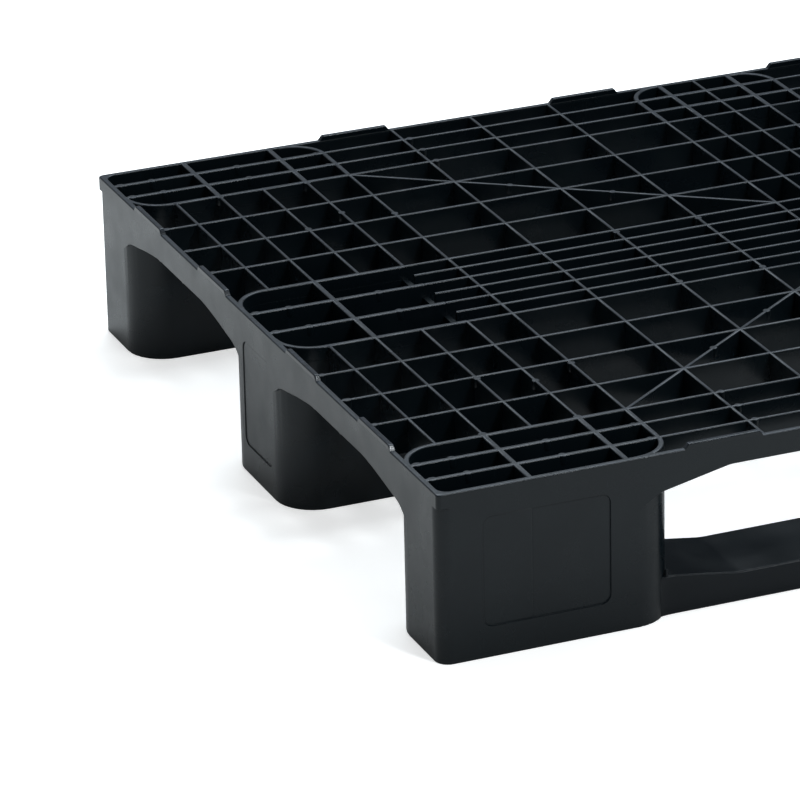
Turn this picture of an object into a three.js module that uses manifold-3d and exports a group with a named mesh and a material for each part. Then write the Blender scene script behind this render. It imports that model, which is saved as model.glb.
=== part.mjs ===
// Open-grid plastic pallet, 1200 x 800 mm: one deck moulding with nine hollow feet, three bottom runners
// that plug into the feet from below, and the eighteen screws that hold the runners.
// Units are millimetres, +Z is up, and the origin is on the floor under the middle of the pallet.
import * as THREE from "three";
import { mergeVertices } from "three/addons/utils/BufferGeometryUtils.js";
import Module from "manifold-3d";

const wasm = await Module();
wasm.setup();

// ---------------------------------------------------------------- driving dimensions
const LENGTH = 1200; // along X, the way the runners lie
const WIDTH = 800; // along Y
const DECK_TOP = 150; // top of the deck ribs above the floor
const HALF_X = LENGTH / 2;
const HALF_Y = WIDTH / 2;

const RIB_DEPTH = 30;
const RIB = 3.25;
const WALL = 5.25; // rim, skirts, foot walls and the ribs over a foot
const DECK_UNDERSIDE = DECK_TOP - RIB_DEPTH;

const RIM_BAND = 13; // height of the plain band round the deck's edge
const RIM_CORNER = 5;
const LONG_SKIRT_DEPTH = 19; // at mid-span, below the deck top
const RISE_WIDTH = 30; // the ribs' lower edges rise to the long skirts over this width

const LIP_HEIGHT = 4.5; // raised lips that keep a load from sliding off
const LIP_LENGTH = 70;
const LIP_RAMP = 3;
const LIP_TO_FOOT = 10; // on the long sides; on the short sides the lips start at the feet

const FOOT_ROUND = 36; // vertical edges of the feet
const OUTER_ROUND = 12; // the four outermost vertical edges of the pallet
const FOOT_BOTTOM = 0; // the foot walls reach the floor beside the runners

const RUNNER_SETBACK = 11; // from a foot's side to the runner's side
const RUNNER_HIGH = 35; // height at a foot
const RUNNER_LOW = 26.5; // height at mid-span
const RUNNER_RAMP = 60; // length of the slope between the two
const RUNNER_WALL = 4;
const RUNNER_SKIN = 3.5; // top skin between the feet
const PAD = 8; // closed plate under a foot
const CROSS_RIB = 3;
const CROSS_RIBS_PER_BAY = 4;
const CHANNEL_WIDTH = 40; // about, for the channels under a runner

const BOSS_RADIUS = 8;
const SCREW_RADIUS = 3;
const SCREW_LENGTH = 38; // from under the head to the tip
const SCREW_POINT = 3;
const HEAD_RADIUS = 6.5;
const HEAD_HEIGHT = 3.25;
const COUNTERBORE_RADIUS = 8;
const COUNTERBORE_DEPTH = 4.25;
const GAP = 0.25; // clearance between neighbouring pieces
const HEAD_TOP = COUNTERBORE_DEPTH - GAP; // height of the screw heads' upper face
const PAST = 1; // how far a cutting solid runs past the face that it cuts
const ROUND_STEPS = 3; // facets in a quarter circle
const SCREW_SIDES = 6; // the screws, their holes and the bosses are all hexagonal

// Distances between rib lines, from the middle of the pallet outwards.
const CENTRE_BAY = 35.5; // along X: two of these are half a centre foot
const LONG_BAY = 80; // four of these lead to the corner foot
const CORNER_BAY = 42.25; // the ribs over the corner foot and beside it
const DENSE_BAY = 23.5; // along Y: three of these are half a middle foot
const WIDE_BAY = 58; // four of these lead to the outer feet
const OUTER_BAY = 32; // the ribs over the outer feet

// Wall centre lines of the feet.
const FOOT_X = 2 * CENTRE_BAY;
const CORNER_X = FOOT_X + 4 * LONG_BAY;
const SHORT_X = CORNER_X + CORNER_BAY; // the feet in the middle of the short sides are shorter
const FOOT_Y = 3 * DENSE_BAY;
const OUTER_Y = FOOT_Y + 4 * WIDE_BAY;
const DEEP_X = CORNER_X + 3 * CORNER_BAY;
const SIGNS = [-1, 1];

// Lower edge of a skirt beside a foot: distance from the foot's side, and depth below the deck top.
const LONG_HAUNCH = [
  [-FOOT_ROUND, 46],
  [-27, 39],
  [-15, 32],
  [46, LONG_SKIRT_DEPTH],
];
const SHORT_HAUNCH = [
  [-FOOT_ROUND, 50],
  [-20, 40],
  [0, 35.7],
  [50, 27.8],
  [62, 27],
];

// ---------------------------------------------------------------- solids
// A closed three.js geometry as a solid that can be joined and cut.
function solid(geometry) {
  geometry.deleteAttribute("normal");
  geometry.deleteAttribute("uv");
  const merged = mergeVertices(geometry, 1e-4);
  const mesh = new wasm.Mesh({
    numProp: 3,
    vertProperties: new Float32Array(merged.attributes.position.array),
    triVerts: new Uint32Array(merged.index.array),
  });
  return new wasm.Manifold(mesh);
}

const join = (parts) => parts.reduce((whole, part) => whole.add(part));
const ordered = (a, b) => (a < b ? [a, b] : [b, a]);

function box(xs, ys, zs) {
  const [[x0, x1], [y0, y1], [z0, z1]] = [xs, ys, zs].map(([a, b]) => ordered(a, b));
  const geometry = new THREE.BoxGeometry(x1 - x0, y1 - y0, z1 - z0);
  return solid(geometry.translate((x0 + x1) / 2, (y0 + y1) / 2, (z0 + z1) / 2));
}

function outline(points) {
  return new THREE.Shape(points.map(([u, v]) => new THREE.Vector2(u, v)));
}

// An outline in plan, raised from z0 to z1.
function prism(shape, z0, z1) {
  const geometry = new THREE.ExtrudeGeometry(shape, {
    depth: z1 - z0,
    bevelEnabled: false,
    curveSegments: ROUND_STEPS,
  });
  return solid(geometry.translate(0, 0, z0));
}

// Each of these turns swaps axes exactly, so that faces meant to be flush stay flush.
const Z_TO_BACK = new THREE.Matrix4().set(1, 0, 0, 0, 0, 0, -1, 0, 0, 1, 0, 0, 0, 0, 0, 1);
const Z_TO_RIGHT = new THREE.Matrix4().set(0, 0, 1, 0, 1, 0, 0, 0, 0, 1, 0, 0, 0, 0, 0, 1);

// An outline of X and Z, carried along Y from y0 to y1.
function alongY(points, y0, y1) {
  const geometry = new THREE.ExtrudeGeometry(outline(points), { depth: y1 - y0, bevelEnabled: false });
  return solid(geometry.applyMatrix4(Z_TO_BACK).translate(0, y1, 0));
}

// An outline of Y and Z, carried along X from x0 to x1.
function alongX(points, x0, x1) {
  const geometry = new THREE.ExtrudeGeometry(outline(points), { depth: x1 - x0, bevelEnabled: false });
  return solid(geometry.applyMatrix4(Z_TO_RIGHT).translate(x0, 0, 0));
}

function post(radius, [x, y], [z0, z1], sides) {
  const geometry = new THREE.CylinderGeometry(radius, radius, z1 - z0, sides);
  return solid(geometry.applyMatrix4(Z_TO_BACK).translate(x, y, (z0 + z1) / 2));
}

// A rib of the deck along X, one along Y, and one between any two points in plan.
const DECK_HEIGHTS = [DECK_UNDERSIDE, DECK_TOP];
const across = (line, width) => [line - width / 2, line + width / 2];
const ribAlongX = (y, xs, width, zs = DECK_HEIGHTS) => box(xs, across(y, width), zs);
const ribAlongY = (x, ys, width, zs = DECK_HEIGHTS) => box(across(x, width), ys, zs);

function diagonalRib([x0, y0], [x1, y1]) {
  const geometry = new THREE.BoxGeometry(Math.hypot(x1 - x0, y1 - y0), RIB, RIB_DEPTH);
  geometry.rotateZ(Math.atan2(y1 - y0, x1 - x0));
  return solid(geometry.translate((x0 + x1) / 2, (y0 + y1) / 2, DECK_TOP - RIB_DEPTH / 2));
}

// A rectangle in plan, drawn in by inset on every side, with its own radius at each corner in the order
// (x0, y0), (x1, y0), (x1, y1), (x0, y1).
function roundedRectangle([[x0, x1], [y0, y1]], radii, inset = 0) {
  const corners = [
    [x0 + inset, y0 + inset, 1, 1],
    [x1 - inset, y0 + inset, -1, 1],
    [x1 - inset, y1 - inset, -1, -1],
    [x0 + inset, y1 - inset, 1, -1],
  ];
  const shape = new THREE.Shape();
  corners.forEach(([x, y, inX, inY], i) => {
    const r = radii[i] - inset;
    const start = Math.PI * (1 + i / 2);
    if (r > 0) shape.absarc(x + inX * r, y + inY * r, r, start, start + Math.PI / 2);
    else if (i) shape.lineTo(x, y);
    else shape.moveTo(x, y);
  });
  return shape;
}

// ---------------------------------------------------------------- feet
// A foot's place in the grid: column and row are -1, 0 or 1.
function footBox(column, row) {
  const half = WALL / 2;
  const innerX = (row ? CORNER_X : SHORT_X) - half;
  const xs = column ? [column * innerX, column * HALF_X] : [-FOOT_X - half, FOOT_X + half];
  const ys = row ? [row * (OUTER_Y - half), row * HALF_Y] : [-FOOT_Y - half, FOOT_Y + half];
  return [ordered(...xs), ordered(...ys)];
}

// Radii of a foot's four vertical edges. At deck level the edges that lie inside the grid are square,
// because the ribs of the grid cross there.
function footRadii(column, row, atDeck) {
  const sides = [
    [-1, -1],
    [1, -1],
    [1, 1],
    [-1, 1],
  ];
  return sides.map(([sx, sy]) => {
    const onEnd = sx === column;
    const onSide = sy === row;
    if (onEnd && onSide) return OUTER_ROUND;
    return atDeck && !onEnd && !onSide ? 0 : FOOT_ROUND;
  });
}

const middle = ([a, b]) => (a + b) / 2;

// The two screws of a foot.
function screwPlaces(column, row) {
  const [, ys] = footBox(column, row);
  if (!column) return SIGNS.map((s) => [s * CENTRE_BAY, middle(ys)]);
  if (!row) return SIGNS.map((s) => [column * DEEP_X, s * DENSE_BAY]);
  return [column * SHORT_X, column * DEEP_X].map((x) => [x, middle(ys)]);
}

// The ribs over a foot, in plan. Those along Y that carry the screw bosses go on down inside it.
function ribsOverFoot(column, row) {
  const [xs, ys] = footBox(column, row);
  const endLines = row ? [SHORT_X, DEEP_X] : [DEEP_X];
  const linesX = column ? endLines.map((x) => column * x) : SIGNS.map((s) => s * CENTRE_BAY);
  const linesY = row ? [1, 2].map((i) => row * (OUTER_Y + i * OUTER_BAY)) : SIGNS.map((s) => s * DENSE_BAY);
  const deep = linesX.map((x) => [x, ys]);
  const shallow = linesY.map((y) => [y, xs]);
  return { deep, shallow };
}

function foot(column, row) {
  const plan = footBox(column, row);
  const radii = footRadii(column, row, false);
  const deckRadii = footRadii(column, row, true);
  const ring = (r, z0, z1) => {
    const hollow = prism(roundedRectangle(plan, r, WALL), z0 - PAST, z1 + PAST);
    return prism(roundedRectangle(plan, r), z0, z1).subtract(hollow);
  };
  const deepHeights = [RUNNER_HIGH + GAP, DECK_TOP];
  const { deep, shallow } = ribsOverFoot(column, row);
  return join([
    ring(radii, FOOT_BOTTOM, DECK_UNDERSIDE),
    ring(deckRadii, DECK_UNDERSIDE, DECK_TOP),
    ...deep.map(([x, [y0, y1]]) => ribAlongY(x, [y0 + PAST, y1 - PAST], WALL, deepHeights)),
    ...shallow.map(([y, [x0, x1]]) => ribAlongX(y, [x0 + PAST, x1 - PAST], WALL)),
    ...screwPlaces(column, row).map((at) => post(BOSS_RADIUS, at, [PAD + GAP, DECK_UNDERSIDE], SCREW_SIDES)),
  ]);
}

const COLUMNS = [-1, 0, 1];
const ROWS = [-1, 0, 1];
const FEET = ROWS.flatMap((row) => COLUMNS.map((column) => [column, row]));

// ---------------------------------------------------------------- deck
function grid() {
  const ribs = [];
  const mirrored = (offset) => (offset ? [-offset, offset] : [0]);
  const alongLength = (y, reach) => mirrored(y).forEach((v) => ribs.push(ribAlongX(v, [-reach, reach], RIB)));
  const alongWidth = (x, reach) => mirrored(x).forEach((u) => ribs.push(ribAlongY(u, [-reach, reach], RIB)));

  [0, 1, 2].forEach((i) => alongLength(i * DENSE_BAY, SHORT_X));
  alongLength(FOOT_Y, SHORT_X);
  [1, 2, 3].forEach((i) => alongLength(FOOT_Y + i * WIDE_BAY, HALF_X - WALL));
  alongLength(OUTER_Y, CORNER_X);
  [1, 2].forEach((i) => alongLength(OUTER_Y + i * OUTER_BAY, CORNER_X));

  [0, 1].forEach((i) => alongWidth(i * CENTRE_BAY, HALF_Y - WALL));
  alongWidth(FOOT_X, OUTER_Y);
  [1, 2, 3].forEach((i) => alongWidth(FOOT_X + i * LONG_BAY, HALF_Y - WALL));
  alongWidth(CORNER_X, OUTER_Y);

  // The short ribs between the corner feet and the middle foot of each short side.
  for (const sx of SIGNS)
    for (const sy of SIGNS) {
      for (const i of [1, 2, 3, 4]) {
        const x = sx * (CORNER_X + i * CORNER_BAY);
        ribs.push(ribAlongY(x, ordered(sy * FOOT_Y, sy * OUTER_Y), RIB));
      }
      ribs.push(diagonalRib([sx * CORNER_X, sy * OUTER_Y], [sx * FOOT_X, sy * FOOT_Y]));
    }
  return ribs;
}

// The rim: a band all round the top, and a skirt between every two feet.
function rim() {
  const plan = [
    [-HALF_X, HALF_X],
    [-HALF_Y, HALF_Y],
  ];
  const corners = Array(4).fill(RIM_CORNER);
  const low = DECK_TOP - RIM_BAND;
  const band = prism(roundedRectangle(plan, corners), low, DECK_TOP).subtract(
    prism(roundedRectangle(plan, corners, WALL), low - PAST, DECK_TOP + PAST),
  );
  return [band, ...skirts(), ...lips()];
}

// Lower edge of a skirt from one foot's side to the next, then back along the deck top.
function skirtOutline(from, to, haunch) {
  const left = haunch.map(([out, depth]) => [from + out, DECK_TOP - depth]);
  const right = haunch.map(([out, depth]) => [to - out, DECK_TOP - depth]).reverse();
  return [...left, ...right, [to + FOOT_ROUND, DECK_TOP - PAST], [from - FOOT_ROUND, DECK_TOP - PAST]];
}

function skirts() {
  const half = WALL / 2;
  const longSide = skirtOutline(FOOT_X + half, CORNER_X - half, LONG_HAUNCH);
  const shortSide = skirtOutline(FOOT_Y + half, OUTER_Y - half, SHORT_HAUNCH);
  const flip = (points) => points.map(([u, z]) => [-u, z]).reverse();
  return SIGNS.flatMap((side) => {
    const ys = ordered(side * (HALF_Y - WALL), side * HALF_Y);
    const xs = ordered(side * (HALF_X - WALL), side * HALF_X);
    return [
      alongY(longSide, ...ys),
      alongY(flip(longSide), ...ys),
      alongX(shortSide, ...xs),
      alongX(flip(shortSide), ...xs),
    ];
  });
}

function lips() {
  const starts = (first, last) => [first, last - LIP_LENGTH].flatMap((s) => [s, -s - LIP_LENGTH]);
  const outlineAt = (start) => [
    [start, DECK_TOP - PAST],
    [start + LIP_LENGTH, DECK_TOP - PAST],
    [start + LIP_LENGTH, DECK_TOP],
    [start + LIP_LENGTH - LIP_RAMP, DECK_TOP + LIP_HEIGHT],
    [start + LIP_RAMP, DECK_TOP + LIP_HEIGHT],
    [start, DECK_TOP],
  ];
  const longSide = starts(FOOT_X + LIP_TO_FOOT, CORNER_X - LIP_TO_FOOT);
  const shortSide = starts(FOOT_Y, OUTER_Y);
  return SIGNS.flatMap((side) => [
    ...longSide.map((s) => alongY(outlineAt(s), ...ordered(side * (HALF_Y - WALL), side * HALF_Y))),
    ...shortSide.map((s) => alongX(outlineAt(s), ...ordered(side * (HALF_X - WALL), side * HALF_X))),
  ]);
}

// Where a runner passes through the side walls of the feet.
function notches(row) {
  const [y0, y1] = barWidth(row);
  const zs = [FOOT_BOTTOM - PAST, RUNNER_HIGH + GAP];
  const cut = (x) => box(across(x, FOOT_ROUND), [y0 - GAP, y1 + GAP], zs);
  return SIGNS.flatMap((s) => [cut(s * FOOT_X), cut(s * (row ? CORNER_X : SHORT_X))]);
}

// The ribs grow shallower towards the long sides, so that forks pass under the skirt.
function riseToSkirt() {
  const half = WALL / 2;
  const points = (side) => [
    [side * (HALF_Y - WALL), DECK_UNDERSIDE - PAST],
    [side * (HALF_Y - WALL), DECK_TOP - LONG_SKIRT_DEPTH],
    [side * (HALF_Y - RISE_WIDTH), DECK_UNDERSIDE - PAST],
  ];
  return SIGNS.flatMap((side) => {
    const wedge = side > 0 ? points(side) : points(side).reverse();
    return [alongX(wedge, FOOT_X + half, CORNER_X - half), alongX(wedge, half - CORNER_X, -half - FOOT_X)];
  });
}

function deck() {
  const whole = join([...grid(), ...rim(), ...FEET.map(([column, row]) => foot(column, row))]);
  const screwHoles = FEET.flatMap(([column, row]) =>
    screwPlaces(column, row).map((at) =>
      post(SCREW_RADIUS + GAP, at, [PAD, HEAD_TOP + SCREW_LENGTH + GAP], SCREW_SIDES),
    ),
  );
  const cuts = [...ROWS.flatMap(notches), ...riseToSkirt(), ...screwHoles];
  return cuts.reduce((body, cut) => body.subtract(cut), whole);
}

// ---------------------------------------------------------------- runners
function barWidth(row) {
  const [, [y0, y1]] = footBox(0, row);
  return [y0 + RUNNER_SETBACK, y1 - RUNNER_SETBACK];
}

// Top of a runner along its length, lowered by drop, for the stretch between two feet.
function bayTop(from, to, drop) {
  return [
    [from, RUNNER_HIGH - drop],
    [from + RUNNER_RAMP, RUNNER_LOW - drop],
    [to - RUNNER_RAMP, RUNNER_LOW - drop],
    [to, RUNNER_HIGH - drop],
  ];
}

function runner(row) {
  const [y0, y1] = barWidth(row);
  const half = WALL / 2;
  const inner = (row ? CORNER_X : SHORT_X) - half;
  const bays = [
    [FOOT_X + half, inner],
    [-inner, -FOOT_X - half],
  ];
  const feet = COLUMNS.map((column) => ({
    column,
    plan: footBox(column, row),
    radii: footRadii(column, row, false),
  }));
  const inset = WALL + GAP;
  const inFoot = ({ plan, radii }, z0, z1) => prism(roundedRectangle(plan, radii, inset), z0, z1);

  // The bar between the feet: an upside-down channel with ribs inside.
  const cells = Math.round((y1 - y0) / CHANNEL_WIDTH);
  const pitch = (y1 - y0 - RUNNER_WALL) / cells;
  const bay = ([from, to]) => {
    const [a, b] = [from - FOOT_ROUND / 2, to + FOOT_ROUND / 2];
    const side = [[a, 0], [b, 0], [b, RUNNER_HIGH], ...bayTop(from, to, 0).reverse(), [a, RUNNER_HIGH]];
    const full = alongY(side, y0, y1);
    const under = bayTop(from, to, RUNNER_SKIN).reverse();
    const channels = Array.from({ length: cells }, (_, i) => {
      const start = y0 + RUNNER_WALL + i * pitch;
      return alongY([[from, -PAST], [to, -PAST], ...under], start, start + pitch - RUNNER_WALL);
    });
    const step = (to - from) / (CROSS_RIBS_PER_BAY + 1);
    const ribs = Array.from({ length: CROSS_RIBS_PER_BAY }, (_, i) => {
      const xs = across(from + (i + 1) * step, CROSS_RIB);
      return box(xs, [y0 + PAST, y1 - PAST], [0, RUNNER_LOW - PAST]);
    });
    return join([channels.reduce((body, channel) => body.subtract(channel), full), ...ribs]);
  };

  // Inside a foot: a tray, open upwards, in two halves.
  const trays = feet.flatMap(({ column, plan: [[x0, x1]] }) => {
    const centre = column ? column * (CORNER_X + 2 * CORNER_BAY) : 0;
    const reach = (x) => (Math.abs(x) === HALF_X ? inset + RUNNER_WALL : RUNNER_WALL);
    const ys = [y0 + RUNNER_WALL, y1 - RUNNER_WALL];
    const zs = [PAD, RUNNER_HIGH + PAST];
    return [
      box([x0 + reach(x0), centre - CROSS_RIB / 2], ys, zs),
      box([centre + CROSS_RIB / 2, x1 - reach(x1)], ys, zs),
    ];
  });
  const blocks = feet.map((one) =>
    inFoot(one, 0, RUNNER_HIGH).intersect(box(one.plan[0], [y0, y1], [0, RUNNER_HIGH])),
  );
  const pads = feet.map((one) => inFoot(one, 0, PAD));
  const body = join([...bays.map(bay), ...blocks, ...pads]);
  const holes = COLUMNS.flatMap((column) =>
    screwPlaces(column, row).flatMap((at) => [
      post(SCREW_RADIUS + GAP, at, [-PAST, PAD + PAST], SCREW_SIDES),
      post(COUNTERBORE_RADIUS, at, [-PAST, COUNTERBORE_DEPTH], SCREW_SIDES),
    ]),
  );
  return [...trays, ...holes].reduce((whole, cut) => whole.subtract(cut), body);
}

// ---------------------------------------------------------------- screws
function screw() {
  const tip = HEAD_TOP + SCREW_LENGTH;
  const profile = [
    [0, HEAD_TOP - HEAD_HEIGHT],
    [HEAD_RADIUS, HEAD_TOP - HEAD_HEIGHT],
    [HEAD_RADIUS, HEAD_TOP],
    [SCREW_RADIUS, HEAD_TOP],
    [SCREW_RADIUS, tip - SCREW_POINT],
    [0, tip],
  ];
  const geometry = new THREE.LatheGeometry(
    profile.map(([r, z]) => new THREE.Vector2(r, z)),
    SCREW_SIDES,
  );
  return solid(geometry.applyMatrix4(Z_TO_BACK));
}

// ---------------------------------------------------------------- the pallet
// Faces that lie in one plane become one face before the solid is turned into a mesh.
function mesh(name, made, material) {
  const { vertProperties, triVerts, numProp } = made.asOriginal().simplify().getMesh();
  const geometry = new THREE.BufferGeometry();
  const positions = new Float32Array((vertProperties.length / numProp) * 3);
  for (let i = 0; i < positions.length / 3; i++)
    positions.set(vertProperties.subarray(i * numProp, i * numProp + 3), i * 3);
  geometry.setAttribute("position", new THREE.BufferAttribute(positions, 3));
  geometry.setIndex(new THREE.BufferAttribute(new Uint32Array(triVerts), 1));
  geometry.computeVertexNormals();
  const object = new THREE.Mesh(geometry, material);
  object.name = name;
  return object;
}

const deckPlastic = new THREE.MeshStandardMaterial({ color: 0x1b1d20, roughness: 0.45, metalness: 0 });
const runnerPlastic = new THREE.MeshStandardMaterial({ color: 0x1e2124, roughness: 0.5, metalness: 0 });
const steel = new THREE.MeshStandardMaterial({ color: 0x9a9da0, roughness: 0.35, metalness: 1 });

const pallet = new THREE.Group();
pallet.add(mesh("deck", deck(), deckPlastic));

const ROW_NAMES = { "-1": "front", 0: "middle", 1: "rear" };
const COLUMN_NAMES = { "-1": "left", 0: "centre", 1: "right" };

for (const row of ROWS) pallet.add(mesh(`runner_${ROW_NAMES[row]}`, runner(row), runnerPlastic));

for (const [column, row] of FEET)
  screwPlaces(column, row).forEach(([x, y], i) => {
    const one = mesh(`screw_${ROW_NAMES[row]}_${COLUMN_NAMES[column]}_${i + 1}`, screw(), steel);
    one.position.set(x, y, 0);
    pallet.add(one);
  });

export default pallet;
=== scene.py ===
import math

import bmesh
import bpy
from mathutils import Matrix, Vector


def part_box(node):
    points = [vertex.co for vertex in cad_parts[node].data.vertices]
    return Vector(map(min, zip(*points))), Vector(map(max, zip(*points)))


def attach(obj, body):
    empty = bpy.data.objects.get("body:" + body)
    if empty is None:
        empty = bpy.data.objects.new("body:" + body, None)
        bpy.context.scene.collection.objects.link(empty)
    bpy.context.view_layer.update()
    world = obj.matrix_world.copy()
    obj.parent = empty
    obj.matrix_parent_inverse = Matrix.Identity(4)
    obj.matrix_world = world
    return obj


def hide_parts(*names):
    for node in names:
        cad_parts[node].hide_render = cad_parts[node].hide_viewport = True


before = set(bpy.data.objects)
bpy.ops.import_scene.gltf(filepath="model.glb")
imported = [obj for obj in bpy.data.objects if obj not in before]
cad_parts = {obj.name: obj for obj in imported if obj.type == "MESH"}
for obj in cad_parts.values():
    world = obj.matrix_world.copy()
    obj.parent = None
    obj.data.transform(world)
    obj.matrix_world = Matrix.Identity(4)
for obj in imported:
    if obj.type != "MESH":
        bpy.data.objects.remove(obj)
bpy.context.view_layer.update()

# Lengths are millimetres in the frame's own axes; meshes are scaled to metres as they are made.
MM = 0.001

# ---------------------------------------------------------------- sizes
deck_low, deck_high = (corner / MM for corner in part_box("deck"))
HALF_X = round(deck_high.x, 3)
HALF_Y = round(deck_high.y, 3)
FOOT_BOTTOM = round(deck_low.z, 3)
LIP_HEIGHT = 4.5
TOP = round(deck_high.z, 3) - LIP_HEIGHT

RIB_DEPTH = 30
UNDERSIDE = TOP - RIB_DEPTH
RIB = 3.2
RIB_ROUND = 1.3
RIB_TAPER = 0.3  # each side, from the top of a rib to its lower edge
DIAGONAL_DEPTH = 26
FOOT_RIB = 5.2  # the thicker ribs over a foot, along Y
FOOT_CROSS_RIB = FOOT_RIB - 0.3  # and along X
FOOT_RIB_INSET = 3.2  # how far into a foot's wall they reach
OUTLINE_RIB = 4.7  # the rounded outline over a foot
OUTLINE_ROUND = 32.5
OUTLINE_INSET = 3.4
WALL = 5.25

RIM_LAND = 5.1  # width of the rim's top
RIM_BAND = 13  # height of its outer face
RIM_CORNER = 4
RIM_INNER_CORNER = 10.5
RISEN_DEPTH = 18  # of the ribs along Y where they meet a long side
RISE_WIDTH = 30

LIP_LENGTH = 70
LIP_RAMP = 3
LIP_TO_FOOT = 8  # on the long sides; on the short sides the lips start at the feet
LIP_ROUND = 1.1

FOOT_ROUND = 36
OUTER_ROUND = 12  # at the pallet's own corners
FOOT_EDGE = 0.8

PANEL_DEPTH = 0.7
PANEL_GROOVE = 1.05  # depth of the fine groove round a panel
PANEL_ROUND = 8
PANEL_LOW = TOP - 122.5
PANEL_HIGH = TOP - 26
CORNER_PANEL = (39, 150.6)  # distances from the pallet's end
LONG_PANEL_HALF = 34
SHORT_PANEL_HALF = 32
SINK_HALF = 1.7
SINK_DEPTH = 0.5
SINK_REACH = (TOP - 121, TOP - 25.2)

RUNNER_SETBACK = 11
RUNNER_HIGH = 35
RUNNER_LOW = 26.5
RUNNER_RAMP = 60
RUNNER_WALL = 4
RUNNER_SKIN = 3.5
PAD = 8  # thickness of a runner's floor inside a foot
CROSS_RIB = 3
CROSS_RIBS_PER_BAY = 4
CHANNEL_WIDTH = 40
CHANNEL_DRAFT = 0.6
TRAY_ROUND = 4
TRAY_TOP = RUNNER_HIGH + 9
STOP_TO_FOOT = 5.5
STOP_INSET = 2.2
STOP_RADIUS = 1.6
GAP = 0.25  # between neighbouring pieces

BOSS_RADIUS = 7.8
HOLE_RADIUS = 3.25
COUNTERBORE_RADIUS = 7.2
COUNTERBORE_DEPTH = 4.25
HEAD_TOP = COUNTERBORE_DEPTH - GAP
SCREW_TIP = HEAD_TOP + 38

# Rib pitches, from the middle of the pallet outwards.
CENTRE_BAY = 35.5
LONG_BAY = 80
CORNER_BAY = 42.25
DENSE_BAY = 23.5
WIDE_BAY = 58
OUTER_BAY = 32
FOOT_X = 2 * CENTRE_BAY
CORNER_X = FOOT_X + 4 * LONG_BAY
SHORT_X = CORNER_X + CORNER_BAY
DEEP_X = CORNER_X + 3 * CORNER_BAY
FOOT_Y = 3 * DENSE_BAY
OUTER_Y = FOOT_Y + 4 * WIDE_BAY

SIGNS = (-1, 1)
COLUMNS = {"left": -1, "centre": 0, "right": 1}
ROWS = {"front": -1, "middle": 0, "rear": 1}
FEET = [(column, row) for row in ROWS.values() for column in COLUMNS.values()]

# Lower edge of a skirt beside a foot: distance from the foot's side, depth below the deck top.
LONG_HAUNCH = ((-36, 48), (-27, 41), (-15, 33.7))
LONG_SKIRT_END = ((44, 21.1), (48, 20.65), (54, 20.6))  # straight from the haunch to here
SHORT_HAUNCH = (
    (-36, 50),
    (-28, 45),
    (-20, 40),
    (-10, 37.3),
    (0, 35.7),
    (25, 31.2),
    (50, 27.8),
    (62, 27),
)

# Ejector marks: how far from the pallet's end they stand, and half their length and width.
FOOT_NUBS = (40.5, 123.8)
ROW_NUBS = (201.5, 295.5)
RIM_NUBS_THIN, RIM_NUBS_THICK = 9.2, 10.1
NUB_HALF, NUB_RADIUS = 3.35, 3.3
FOOT_NUB_HALF, FOOT_NUB_RADIUS = 3.9, 3.8
RIM_NUB_HALF, THIN_RIM_NUB_RADIUS, THICK_RIM_NUB_RADIUS = 4.4, 2.7, 3.7
NUB_EDGE = 0.7


# ---------------------------------------------------------------- closed shells
def loft(sections, ring=False):
    """A closed shell through loops of equally many points; a ring's last loop joins its first."""
    n = len(sections[0])
    points = [point for section in sections for point in section]
    faces = []
    for i in range(len(sections) if ring else len(sections) - 1):
        a, b = i * n, (i + 1) % len(sections) * n
        faces += [(a + j, a + (j + 1) % n, b + (j + 1) % n, b + j) for j in range(n)]
    if not ring:
        faces += [tuple(range(n)), tuple(range(len(points) - n, len(points)))]
    return points, faces


def shells_to_object(name, shells):
    """One mesh object from closed shells that don't touch each other."""
    mesh = bpy.data.meshes.new(name)
    points, faces = [], []
    for shell_points, shell_faces in shells:
        base = len(points)
        points += [Vector(point) * MM for point in shell_points]
        faces += [tuple(base + i for i in face) for face in shell_faces]
    mesh.from_pydata(points, [], faces)
    bm = bmesh.new()
    bm.from_mesh(mesh)
    bmesh.ops.recalc_face_normals(bm, faces=bm.faces)
    bm.to_mesh(mesh)
    bm.free()
    made = bpy.data.objects.new(name, mesh)
    bpy.context.scene.collection.objects.link(made)
    return made


def combine(target, shells, operation="UNION"):
    """Joins shells to the target, or cuts them from it, and keeps the result as plain mesh."""
    other = shells_to_object("tool", shells)
    modifier = target.modifiers.new("combine", "BOOLEAN")
    modifier.operation = operation
    modifier.solver = "MANIFOLD"
    modifier.object = other
    evaluated = target.evaluated_get(bpy.context.evaluated_depsgraph_get())
    result = bpy.data.meshes.new_from_object(evaluated)
    target.modifiers.clear()
    old, target.data = target.data, result
    bpy.data.meshes.remove(old)
    tool_mesh = other.data
    bpy.data.objects.remove(other)
    bpy.data.meshes.remove(tool_mesh)


def finish_mesh(made, angle=35):
    """Cleans the joined mesh and gives it soft rounds beside flat faces."""
    bm = bmesh.new()
    bm.from_mesh(made.data)
    bmesh.ops.remove_doubles(bm, verts=bm.verts, dist=0.002 * MM)
    bmesh.ops.dissolve_degenerate(bm, edges=bm.edges, dist=0.001 * MM)
    bm.to_mesh(made.data)
    bm.free()
    made.data.shade_smooth()
    made.data.set_sharp_from_angle(angle=math.radians(angle))
    modifier = made.modifiers.new("weighted", "WEIGHTED_NORMAL")
    modifier.keep_sharp = True
    modifier.weight = 80
    evaluated = made.evaluated_get(bpy.context.evaluated_depsgraph_get())
    result = bpy.data.meshes.new_from_object(evaluated)
    made.modifiers.clear()
    made.data = result


def quarter(steps):
    """Cosines and sines of a quarter turn."""
    angles = [math.pi / 2 * i / steps for i in range(steps + 1)]
    return [(math.cos(a), math.sin(a)) for a in angles]


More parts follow.
